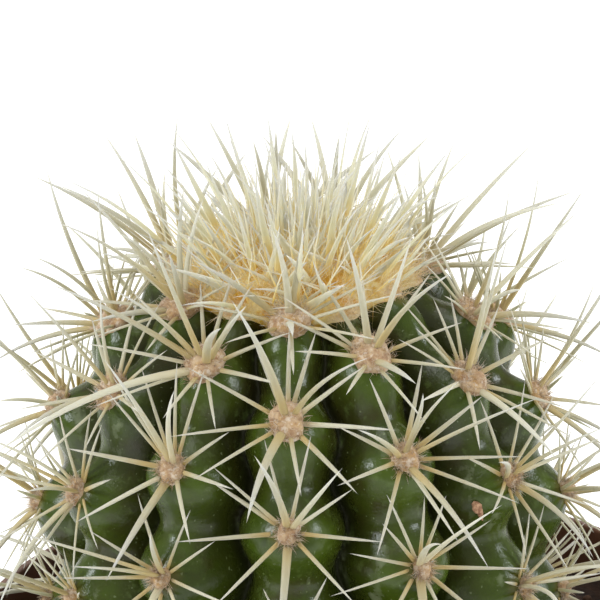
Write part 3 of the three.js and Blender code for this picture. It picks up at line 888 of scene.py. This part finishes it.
def on_soil(flat):
    """Points on the soil's level, above places in the pot."""
    return np.column_stack([flat, soil_level(flat[:, 0], flat[:, 1])])


def make_soil():
    """Soil up to its level: a bowl under the plant, the open surface, and the pot's inside."""
    ribs = rib_columns(SOIL_SIDES_PER_RIB)
    contact = level_place(ribs)
    rings = [planted(skin_point(ribs, lerp(BOWL_FROM, contact, share), BOWL_GAP))
             for share in np.linspace(0.12, 1, BOWL_ROWS)]
    inner = rings[-1][:, :2]
    rim = on_circle(rings[-1], SOIL_EDGE)
    for share in np.linspace(0, 1, SOIL_ROWS)[1:]:
        row = on_soil(lerp(inner, rim, share))
        fade = smoothstep(share, 0, LUMPS_FROM) * (1 - LUMPS_FADE * smoothstep(share, LUMPS_TO, 1))
        row[:, 2] += fade * lumps(row, SOIL_LUMPS) + SOIL_HEAP * (1 - smoothstep(share, 0, HEAP_TO))
        rings.append(row)
    under = POT_HEIGHT - COLLAR_HEIGHT
    floor = FLOOR + SOIL_GAP
    for radius, height in (
        (SOIL_EDGE, under + COLLAR_SHELF + WALL + SOIL_GAP),
        (SOIL_UNDER_COLLAR, under - WALL + SOIL_GAP),
        (FOOT_RADIUS - WALL - SOIL_GAP, floor),
        *groove(SLOPE_SHIFT + SOIL_GAP, floor),
    ):
        rings.append(np.column_stack([unit(rim) * radius, np.full(len(rim), height)]))
    return ringed(planted(skin_point(0, BOTTOM_PLACE)), np.array(rings), floor * UP)


def soil_places(count, rng):
    """Places on the open soil between the plant and the pot."""
    rib = rng.uniform(FIRST_RIB, FIRST_RIB + RIBS, count)
    inner = planted(skin_point(rib, level_place(rib)))
    rim = on_circle(inner, SOIL_EDGE - 1)
    points = on_soil(lerp(inner[:, :2], rim, (rng.uniform(0, 1, count) ** 0.8)[:, None]))
    points[:, 2] += lumps(points, SOIL_LUMPS)
    return points


def soil_crumbs(rng):
    """Crumbs of soil, a few of them pale grit."""
    ball = bmesh.new()
    bmesh.ops.create_icosphere(ball, subdivisions=2, radius=1)
    points = np.array([vertex.co for vertex in ball.verts])
    faces = np.array([[vertex.index for vertex in face.verts] for face in ball.faces])
    ball.free()
    middles = soil_places(CRUMBS, rng)
    sizes = np.clip(rng.lognormal(*CRUMB_LOG_RADIUS, CRUMBS), *CRUMB_RADIUS)
    crumbs = []
    for middle, size in zip(middles, sizes):
        squash = rng.uniform(*CRUMB_SQUASH, 3)
        rough = 1 + lumps(points * 1.3 + middle, CRUMB_LUMPS)
        lump = points * squash * rough[:, None] * size + middle + CRUMB_RISE * size * UP
        pale = rng.uniform() < PALE_SHARE
        crumbs.append(Shape(lump, faces).marked(along=pale, own=rng.uniform()))
    return joined(crumbs)


def soil_fibres(rng):
    """Short bent fibres that lie on the soil."""
    roots = soil_places(FIBRES, rng) + FIBRE_RISE * UP
    ways = facing(rng.uniform(0, 2 * np.pi, FIBRES))
    share = np.linspace(-0.5, 0.5, len(FIBRE_TAPER))[None, :, None]
    length = rng.uniform(*FIBRE_LENGTH, (FIBRES, 1, 1))
    aside = np.cross(ways, UP)[:, None] * rng.uniform(-FIBRE_BEND, FIBRE_BEND, (FIBRES, 1, 1))
    paths = roots[:, None] + ways[:, None] * length * share + aside * length * (0.25 - share**2)
    paths[..., 2] += lumps(paths, FIBRE_LUMPS)
    far = np.hypot(paths[..., 0], paths[..., 1])
    paths[..., :2] *= np.minimum(1, (SOIL_EDGE - FIBRE_FROM_EDGE) / far)[..., None]
    widths = rng.uniform(*FIBRE_WIDTH, (FIBRES, 1)) * FIBRE_TAPER
    own = rng.uniform(size=FIBRES)
    return tubes(paths, widths, np.tile(UP, (FIBRES, 1)), FIBRE_FLATNESS, FIBRE_SIDES, own).marked(along=0.5)


def soil_litter():
    """What lies on the soil."""
    rng = np.random.default_rng(LITTER_SEED)
    return joined([soil_crumbs(rng), soil_fibres(rng)])


# Pot

def groove(shift, level):
    """The section of the groove round the pot's floor, from the foot ring in to the disc."""
    return [
        [FOOT_RING_RADIUS + shift, level],
        [FOOT_RING_RADIUS - GROOVE_SLOPE + shift, level + GROOVE_DEPTH],
        [DISC_RADIUS + GROOVE_SLOPE - shift, level + GROOVE_DEPTH],
        [DISC_RADIUS - shift, level],
    ]


def pot_profile():
    """Radius and height of the pot's section, from the middle of its underside round to its inside."""
    under = POT_HEIGHT - COLLAR_HEIGHT
    under_radius = RIM_RADIUS - COLLAR_FLARE - COLLAR_PROUD
    shelf = under + COLLAR_SHELF
    return np.array([
        [0, 0],
        *groove(0, 0)[::-1],
        [FOOT_RADIUS - FOOT_EDGE, 0],
        [FOOT_RADIUS, FOOT_EDGE],
        [under_radius, under],
        [RIM_RADIUS - COLLAR_FLARE, shelf],
        [RIM_RADIUS, POT_HEIGHT],
        [RIM_RADIUS - WALL, POT_HEIGHT],
        [RIM_RADIUS - WALL - COLLAR_FLARE, shelf + WALL],
        [under_radius - WALL, under - WALL],
        [FOOT_RADIUS - WALL, FLOOR],
        *groove(SLOPE_SHIFT, FLOOR),
        [0, FLOOR],
    ], float)


def rounded(corners):
    """A section with its corners rounded and its long sides cut into short steps."""
    line = [corners[0]]
    for before, corner, after in zip(corners, corners[1:], corners[2:]):
        back, on = before - corner, after - corner
        reach = min(CORNER_ROUND, 0.4 * np.linalg.norm(back), 0.4 * np.linalg.norm(on))
        start, end = corner + reach * unit(back), corner + reach * unit(on)
        last, gap = line[-1], start - line[-1]
        steps = max(2, math.ceil(np.linalg.norm(gap) / WALL_STEP))
        line.extend(last + gap * share for share in np.arange(1, steps) / steps)
        for share in np.linspace(0, 1, CORNER_STEPS):
            line.append((1 - share) ** 2 * start + 2 * share * (1 - share) * corner + share**2 * end)
    line.append(corners[-1])
    return np.array(line)


def make_pot():
    """The pot's thin turned shell, its rim a little out of true as moulded pots are."""
    section = rounded(pot_profile())[::-1]
    turn = turns(POT_SIDES)
    inner = section[1:-1]
    high = smoothstep(inner[:, 1], WAVE_FROM, POT_HEIGHT)[:, None]
    wave = RIM_WAVE * high * (np.cos(2 * turn + 0.6) + 0.4 * np.cos(5 * turn + 1.9))[None]
    rings = facing(turn)[None] * (inner[:, :1] + wave)[..., None]
    rings[..., 2] = inner[:, 1:]
    return ringed(FLOOR * UP, rings, 0 * UP)


def drain_rods():
    """Upright rods where the drains go."""
    middle = (DISC_RADIUS + FOOT_RING_RADIUS) / 2
    rods = bmesh.new()
    for angle in turns(DRAIN_COUNT) + math.pi / DRAIN_COUNT:
        rod = bmesh.ops.create_cone(
            rods, cap_ends=True, segments=DRAIN_SIDES, radius1=DRAIN_RADIUS * MM,
            radius2=DRAIN_RADIUS * MM, depth=4 * GROOVE_DEPTH * MM)
        shift = (middle * math.cos(angle) * MM, middle * math.sin(angle) * MM, GROOVE_DEPTH * MM)
        bmesh.ops.translate(rods, vec=shift, verts=rod["verts"])
    mesh = bpy.data.meshes.new("drain_rods")
    rods.to_mesh(mesh)
    rods.free()
    return put_in_scene("drain_rods", mesh)


def drill(pot, rods):
    """Cuts the rods out of the pot and takes them away."""
    cut = pot.modifiers.new("drains", "BOOLEAN")
    cut.operation = "DIFFERENCE"
    cut.solver = "EXACT"
    cut.object = rods
    evaluated = pot.evaluated_get(bpy.context.evaluated_depsgraph_get())
    drilled = bpy.data.meshes.new_from_object(evaluated)
    pot.modifiers.clear()
    pot.data = drilled
    bpy.data.objects.remove(rods)
    drilled.shade_smooth()
    drilled.set_sharp_from_angle(angle=math.radians(SHARP_ANGLE))


# Finishes

def tint(red, green, blue):
    """A colour given from 0 to 255, as the light values that shaders take."""
    parts = [value / 255 for value in (red, green, blue)]
    linear = [part / 12.92 if part <= 0.04045 else ((part + 0.055) / 1.055) ** 2.4 for part in parts]
    return (*linear, 1)


class Value:
    """A socket that gives a number, with which shader maths is written as sums."""

    def __init__(self, finish, socket):
        self.finish = finish
        self.socket = socket

    def maths(self, operation, *values):
        return self.finish.node("ShaderNodeMath", {"operation": operation}, dict(enumerate(values)))

    def __add__(self, other):
        return self.maths("ADD", self, other)

    def __sub__(self, other):
        return self.maths("SUBTRACT", self, other)

    def __rsub__(self, other):
        return self.maths("SUBTRACT", other, self)

    def __mul__(self, other):
        return self.maths("MULTIPLY", self, other)

    def __pow__(self, other):
        return self.maths("POWER", self, other)

    __radd__ = __add__
    __rmul__ = __mul__

    def between(self, low, high):
        """0 below a low value and 1 above a high one, smooth between them."""
        return self.finish.node(
            "ShaderNodeMapRange", {"interpolation_type": "SMOOTHSTEP"},
            {"Value": self, "From Min": low, "From Max": high})


class Finish:
    """A material, the nodes that give it its look, and its colour so far.

    A colour is a link, or red, green and blue from 0 to 255.
    """

    def __init__(self, name, colour=None, **fixed):
        self.material = bpy.data.materials.new(name)
        self.material.use_nodes = True
        self.tree = self.material.node_tree
        self.shader = self.tree.nodes["Principled BSDF"]
        self.colour = colour
        self.give(**fixed)

    def node(self, kind, settings=None, sockets=None, output=0):
        """A node with its settings made first and its sockets then set or linked."""
        made = self.tree.nodes.new(kind)
        for name, value in (settings or {}).items():
            if name == "stops":
                self.set_stops(made.color_ramp, value)
            else:
                setattr(made, name, value)
        for name, value in (sockets or {}).items():
            self.join(value, made.inputs[name])
        return Value(self, made.outputs[output])

    def set_stops(self, ramp, stops):
        """Gives a colour ramp its stops, each a position and a colour."""
        while len(ramp.elements) < len(stops):
            ramp.elements.new(1)
        for element, (position, colour) in zip(ramp.elements, stops):
            element.position = position
            element.color = tint(*colour)

    def join(self, value, socket):
        """Links a value to a socket, or sets the socket to a plain one."""
        if isinstance(value, Value):
            self.tree.links.new(value.socket, socket)
        else:
            socket.default_value = value

    def give(self, **sockets):
        """Sets or links sockets of the shader."""
        for name, value in sockets.items():
            self.join(value, self.shader.inputs[name.replace("_", " ")])

    def mark(self, name):
        """A mark that the mesh carries."""
        return self.node("ShaderNodeAttribute", {"attribute_name": name}, output="Fac")

    def place(self):
        """Where a point of the surface is, in metres."""
        return self.node("ShaderNodeTexCoord", output="Object")

    def noise(self, size, detail=3, roughness=0.55, stretch=(1, 1, 1), vector=None):
        """Cloudy unevenness between 0 and 1, with clouds of about a size."""
        scaled = self.node(
            "ShaderNodeVectorMath", {"operation": "MULTIPLY"},
            {0: vector or self.place(), 1: [1 / (size * MM * part) for part in stretch]})
        return self.node(
            "ShaderNodeTexNoise", {},
            {"Vector": scaled, "Scale": 1, "Detail": detail, "Roughness": roughness})

    def mix(self, share, first, second):
        """A colour between two."""
        first, second = (tint(*part) if isinstance(part, tuple) else part for part in (first, second))
        return self.node("ShaderNodeMix", {"data_type": "RGBA"}, {0: share, 6: first, 7: second}, output=2)

    def lay(self, share, colour):
        """Lays a share of a colour over the one so far."""
        self.colour = self.mix(share, self.colour, colour)

    def done(self, roughness, height, depth):
        """The material with its colour, its roughness, and a relief as deep as told in millimetres."""
        relief = self.node(
            "ShaderNodeBump", {}, {"Height": height, "Distance": depth * MM, "Strength": 1})
        self.give(Base_Color=self.colour, Roughness=roughness, Normal=relief)
        return self.material


def skin_finish():
    """Waxy green skin: painted shade in the valleys and in the folds between ribs, mottled, with pale scuffs
    and an uneven gloss.
    """
    skin = Finish("waxy_skin", (50, 66, 12), IOR=1.46, Specular_IOR_Level=0.42)
    valley, place, fold, spot = (skin.mark(name) for name in ("valley", "place", "fold", "spot"))
    patches = skin.noise(11)
    mottle = skin.noise(2.2, 4, 0.6)
    grain = skin.noise(0.42, 3, 0.6)
    # Painted shade: the darker colour of the valleys, less dark further down the plant
    deep = skin.mix(patches.between(0.35, 0.7), (44, 47, 12), (56, 61, 15))
    deep = skin.mix(place.between(1.2, 2.8) * 0.8, deep, (60, 72, 16))
    skin.lay(patches.between(0.3, 0.7), (68, 87, 18))
    # Lays the painted valley shade over the green
    skin.lay((valley + mottle * 0.5 - 0.34).between(0.1, 0.9), deep)
    brown = skin.noise(7, 3, 0.6).between(0.5, 0.7) * (valley + mottle * 0.4).between(0.25, 0.7)
    skin.lay(brown * 0.55, (56, 46, 24))
    # Painted shade: darker still deep in the valleys
    skin.lay(valley.between(0.4, 0.95) * 0.35, (36, 40, 14))
    # Painted shade: dark in the creases where two ribs meet
    skin.lay(fold * 0.7, (30, 30, 13))
    skin.lay(mottle.between(0.54, 0.74) * 0.42, (98, 118, 60))
    corky = place.between(3, 4.8) * patches.between(0.4, 0.65)
    skin.lay(corky * 0.5, (92, 84, 52))
    scuff = skin.noise(5, 2, 0.5, (1, 1, 2.6)).between(0.62, 0.74) * mottle.between(0.4, 0.6)
    skin.lay(scuff * 0.5, (140, 150, 118))
    flecks = skin.noise(0.7, 1, 0.4).between(0.7, 0.78)
    skin.lay(flecks * 0.35, (150, 165, 120))
    collar = 1 - spot.between(0.1, 0.2)
    skin.lay(collar * 0.45, (110, 96, 52))
    return skin.done(
        roughness=0.12 + mottle * 0.16 + scuff * 0.25 + grain * 0.06 + fold * 0.5,
        height=grain * 0.5 + mottle * 0.8 + skin.noise(1, 2) * 0.6,
        depth=0.09)


def spine_finish(name):
    """Horny spines: warm near the root, then pale as bone, with a greyer tip.

    Where they crowd, a faint glow stands for the light that scatters through them.
    """
    root, middle, end, tip, warm, glow = SPINE_LOOKS[name]
    spine = Finish(
        name, IOR=1.5, Specular_IOR_Level=0.35, Subsurface_Weight=0.7, Subsurface_Scale=0.0015,
        Subsurface_Radius=(1, 1, 0.8), Emission_Strength=glow)
    along, own, reach = (spine.mark(mark) for mark in ("along", "own", "reach"))
    spine.colour = spine.node(
        "ShaderNodeValToRGB",
        {"stops": [(0, root), (warm, root), (warm + 0.23, middle), (0.86, end), (1, tip)]},
        {0: along + (own - 0.5) * 0.22 * (1 - along)})
    ring_place = spine.node("ShaderNodeCombineXYZ", {}, {0: reach * MM, 1: own * 0.4})
    rings = spine.noise(0.8, 3, 0.7, vector=ring_place)
    spine.lay(rings.between(0.5, 0.75) * 0.3, root)
    spine.lay(spine.noise(3.5).between(0.6, 0.8) * 0.3, (176, 150, 104))
    spine.lay(own.between(0.7, 1) * 0.35, (212, 210, 192))
    spine.give(Emission_Color=spine.colour)
    return spine.done(0.4 + rings * 0.2, rings * 0.7 + spine.noise(0.3, 2) * 0.3, 0.03)


def spot_wool_finish():
    """Felted wool of the spots: pinkish tan with golden and pale patches and small dark specks."""
    wool = Finish("spot_wool", (164, 128, 94), IOR=1.4, Sheen_Weight=0.25, Sheen_Roughness=0.6)
    tufts = wool.noise(1.3, 4, 0.65)
    specks = wool.noise(0.55, 2, 0.5)
    own = wool.mark("own")
    wool.lay(tufts.between(0.35, 0.65), (200, 174, 140))
    wool.lay(own.between(0.52, 0.8) * 0.75, (230, 220, 202))
    wool.lay(wool.noise(1.8).between(0.48, 0.62) * 0.55, (186, 144, 76))
    wool.lay(wool.noise(0.9, 3, 0.6).between(0.52, 0.64) * 0.5, (230, 222, 210))
    wool.lay(specks.between(0.64, 0.74) * 0.6, (92, 66, 44))
    return wool.done(0.85 + own * 0.1, tufts + specks * 0.5, 0.25)


def crown_wool_finish():
    """Young golden wool of the crown, with a faint glow for the light that scatters through it."""
    wool = Finish(
        "crown_wool", (216, 172, 52), IOR=1.4, Sheen_Weight=0.1, Sheen_Roughness=0.6,
        Subsurface_Weight=0.5, Subsurface_Scale=0.001, Subsurface_Radius=(1, 1, 0.8),
        Emission_Strength=0.16)
    tufts = wool.noise(2.4, 4, 0.62)
    fluff = wool.noise(0.7, 4, 0.7)
    own = wool.mark("own")
    wool.lay(tufts.between(0.4, 0.56), (234, 214, 140))
    wool.lay(fluff.between(0.44, 0.66) * 0.5, (242, 228, 178))
    wool.lay(wool.mark("along") * own.between(0.3, 1) * 0.5, (242, 232, 194))
    wool.lay(wool.noise(5.5, 2).between(0.5, 0.58) * 0.9, (204, 150, 10))
    edge = (wool.mark("edge") + tufts * 0.5 - 0.25).between(0.76, 0.97)
    tan = wool.mix(fluff.between(0.35, 0.65), (194, 160, 122), (226, 208, 178))
    wool.lay(edge * 0.75, tan)
    wool.give(Emission_Color=wool.colour)
    return wool.done(0.85 + own * 0.1, tufts + fluff * 0.6, 0.4)


def pot_finish():
    """Thin brown pot plastic with a fine grain, rubbed edges, dust and dried soil inside."""
    pot = Finish("pot_plastic", (86, 53, 36), IOR=1.47)
    x, y, z = (pot.node("ShaderNodeSeparateXYZ", {}, {0: pot.place()}, output=i) for i in range(3))
    radius = (x * x + y * y) ** 0.5
    grain = pot.noise(0.6, 3, 0.6)
    drag = pot.noise(4, 3, 0.6, (1, 1, 9))
    pot.lay(pot.noise(14).between(0.2, 0.8), (97, 62, 43))
    pot.lay(drag.between(0.5, 0.8) * 0.25, (120, 84, 62))
    inside = 1 - (radius - z * ((RIM_RADIUS - FOOT_RADIUS) / POT_HEIGHT)).between(
        (FOOT_RADIUS - WALL - 1.2) * MM, (FOOT_RADIUS - WALL + 0.6) * MM)
    stain = inside * pot.noise(5, 4, 0.65).between(0.35, 0.6)
    pot.lay(stain * 0.35, (58, 38, 28))
    lip = z.between((POT_HEIGHT - 1.2) * MM, (POT_HEIGHT - 0.1) * MM)
    pot.lay(lip * drag.between(0.4, 0.6) * 0.5, (140, 100, 78))
    dust = pot.noise(3, 6, 0.75).between(0.5, 0.8)
    pot.lay(dust * 0.16, (150, 122, 102))
    return pot.done(0.42 + dust * 0.2 + stain * 0.3 + grain * 0.06, grain + drag * 0.6, 0.05)


def soil_finish():
    """Damp dark peat with lighter dry crumbs."""
    soil = Finish("soil", (34, 22, 16), IOR=1.4)
    clods = soil.noise(4.5, 5, 0.65)
    grains = soil.noise(0.8, 4, 0.7)
    soil.lay(clods.between(0.35, 0.68), (66, 46, 34))
    soil.lay(grains.between(0.6, 0.75) * 0.5, (98, 74, 56))
    return soil.done(0.78 + grains * 0.2, clods * 0.8 + grains * 0.6, 0.6)


def litter_finish():
    """Crumbs from dark peat to pale grit, and brown fibres."""
    litter = Finish("soil_bits", (40, 26, 19), IOR=1.45)
    own, kind = litter.mark("own"), litter.mark("along")
    grains = litter.noise(0.7, 4, 0.65)
    fibre = litter.mix(own, (96, 66, 44), (142, 108, 76))
    grit = litter.mix(own, (186, 172, 150), (222, 214, 198))
    litter.lay(own, (82, 58, 42))
    litter.lay(kind.between(0.2, 0.4), fibre)
    litter.lay(kind.between(0.7, 0.9), grit)
    litter.lay(grains.between(0.5, 0.75) * 0.4, (30, 20, 14))
    return litter.done(0.8 + grains * 0.15, grains, 0.2)


def flake_finish():
    """Dried husk, pinkish brown with paler worn parts."""
    flake = Finish("dry_flake", (132, 92, 66), IOR=1.45)
    crust = flake.noise(0.8, 3, 0.6)
    flake.lay(crust.between(0.35, 0.65), (196, 156, 124))
    return flake.done(0.75 + crust * 0.2, crust, 0.35)


def floor_finish():
    """A plain pale studio floor."""
    floor = Finish("studio_floor", Roughness=0.85, Emission_Color=(1, 1, 1, 1), Emission_Strength=0.35)
    floor.give(Base_Color=floor.mix(floor.noise(300, 2) * 0.2, (250, 250, 250), (244, 244, 243)))
    return floor.material


# Studio

def make_floor():
    """The floor under the pot, which fills the view behind it."""
    corners = np.array([[-1, -1, 0], [1, -1, 0], [1, 1, 0], [-1, 1, 0]]) * STUDIO_REACH / MM
    floor = make_object("studio_floor", Shape(corners, np.array([[0, 1, 2], [0, 2, 3]])))
    floor.data.materials.append(floor_finish())


def make_light(name, place, side, power, colour):
    """A square soft light that looks at the plant."""
    lamp = bpy.data.lights.new(name, "AREA")
    lamp.shape = "SQUARE"
    lamp.size = side
    lamp.energy = power
    lamp.color = colour
    light = put_in_scene(name, lamp)
    light.location = place
    x, y, z = place
    light.rotation_euler = (math.atan2(math.hypot(x, y), z - LIT_HEIGHT), 0, math.atan2(-y, -x) - math.pi / 2)


def make_studio():
    """Soft lights and a pale surrounding."""
    world = bpy.data.worlds.new("studio")
    world.use_nodes = True
    background = world.node_tree.nodes["Background"].inputs
    background["Color"].default_value = SURROUNDING
    background["Strength"].default_value = SURROUNDING_STRENGTH
    bpy.context.scene.world = world
    bpy.context.scene.view_settings.view_transform = "Standard"
    for name, light in LIGHTS.items():
        make_light(name, *light)


def make_camera():
    """The photograph's view."""
    lens = bpy.data.cameras.new("camera")
    lens.lens = LENS
    lens.sensor_width = SENSOR
    lens.clip_start = 0.01
    lens.clip_end = 20
    camera = put_in_scene("camera", lens)
    rise = math.radians(CAMERA_RISE)
    back = np.array([0, -math.cos(rise), math.sin(rise)])
    camera.location = (np.array(LOOK_AT) + CAMERA_DISTANCE * back) * MM
    camera.rotation_euler = (math.pi / 2 - rise, 0, 0)
    bpy.context.scene.camera = camera


def dress_pot():
    """The pot and its soil."""
    pot = make_object("pot_shell", make_pot())
    drill(pot, drain_rods())
    dress(pot, pot_finish(), "pot_plastic", "pot")
    dress(make_object("soil_surface", make_soil()), soil_finish(), "soil", "soil")
    dress(make_object("soil_litter", soil_litter()), litter_finish(), "soil_bits")


def dress_plant():
    """The plant's pieces, each made in the plant's own frame and then planted."""
    spots = all_spots()
    stars = spines(spots, star_spines, RADIAL_TAPER, RADIAL_SIDES, seed=21)
    middles = spines(spots, middle_spines, CENTRAL_TAPER, CENTRAL_SIDES, seed=22)
    daggers = joined([crown_spines(*UPRIGHT), crown_spines(*CROSSING)])
    for name, shape, finish, slot, *replaced in (
        ("cactus_skin", make_skin(), skin_finish(), "cactus_skin", "cactus_body"),
        ("spot_wool", wool_buttons(spots), spot_wool_finish(), "spot_wool"),
        ("star_spines", stars, spine_finish("star_spines"), "spines"),
        ("middle_spines", middles, spine_finish("middle_spines"), "spines"),
        ("dry_flake", dry_flake(), flake_finish(), "soil_bits"),
        ("crown_wool", crown_wool(), crown_wool_finish(), "crown_wool", "cactus_crown"),
        ("crown_spines", daggers, spine_finish("crown_spines"), "spines"),
        ("young_spines", crown_spines(*YOUNG), spine_finish("young_spines"), "spines"),
    ):
        shape.points = planted(shape.points)
        dress(make_object(name, shape), finish, slot, *replaced)


make_camera()
make_studio()
make_floor()
dress_pot()
dress_plant()
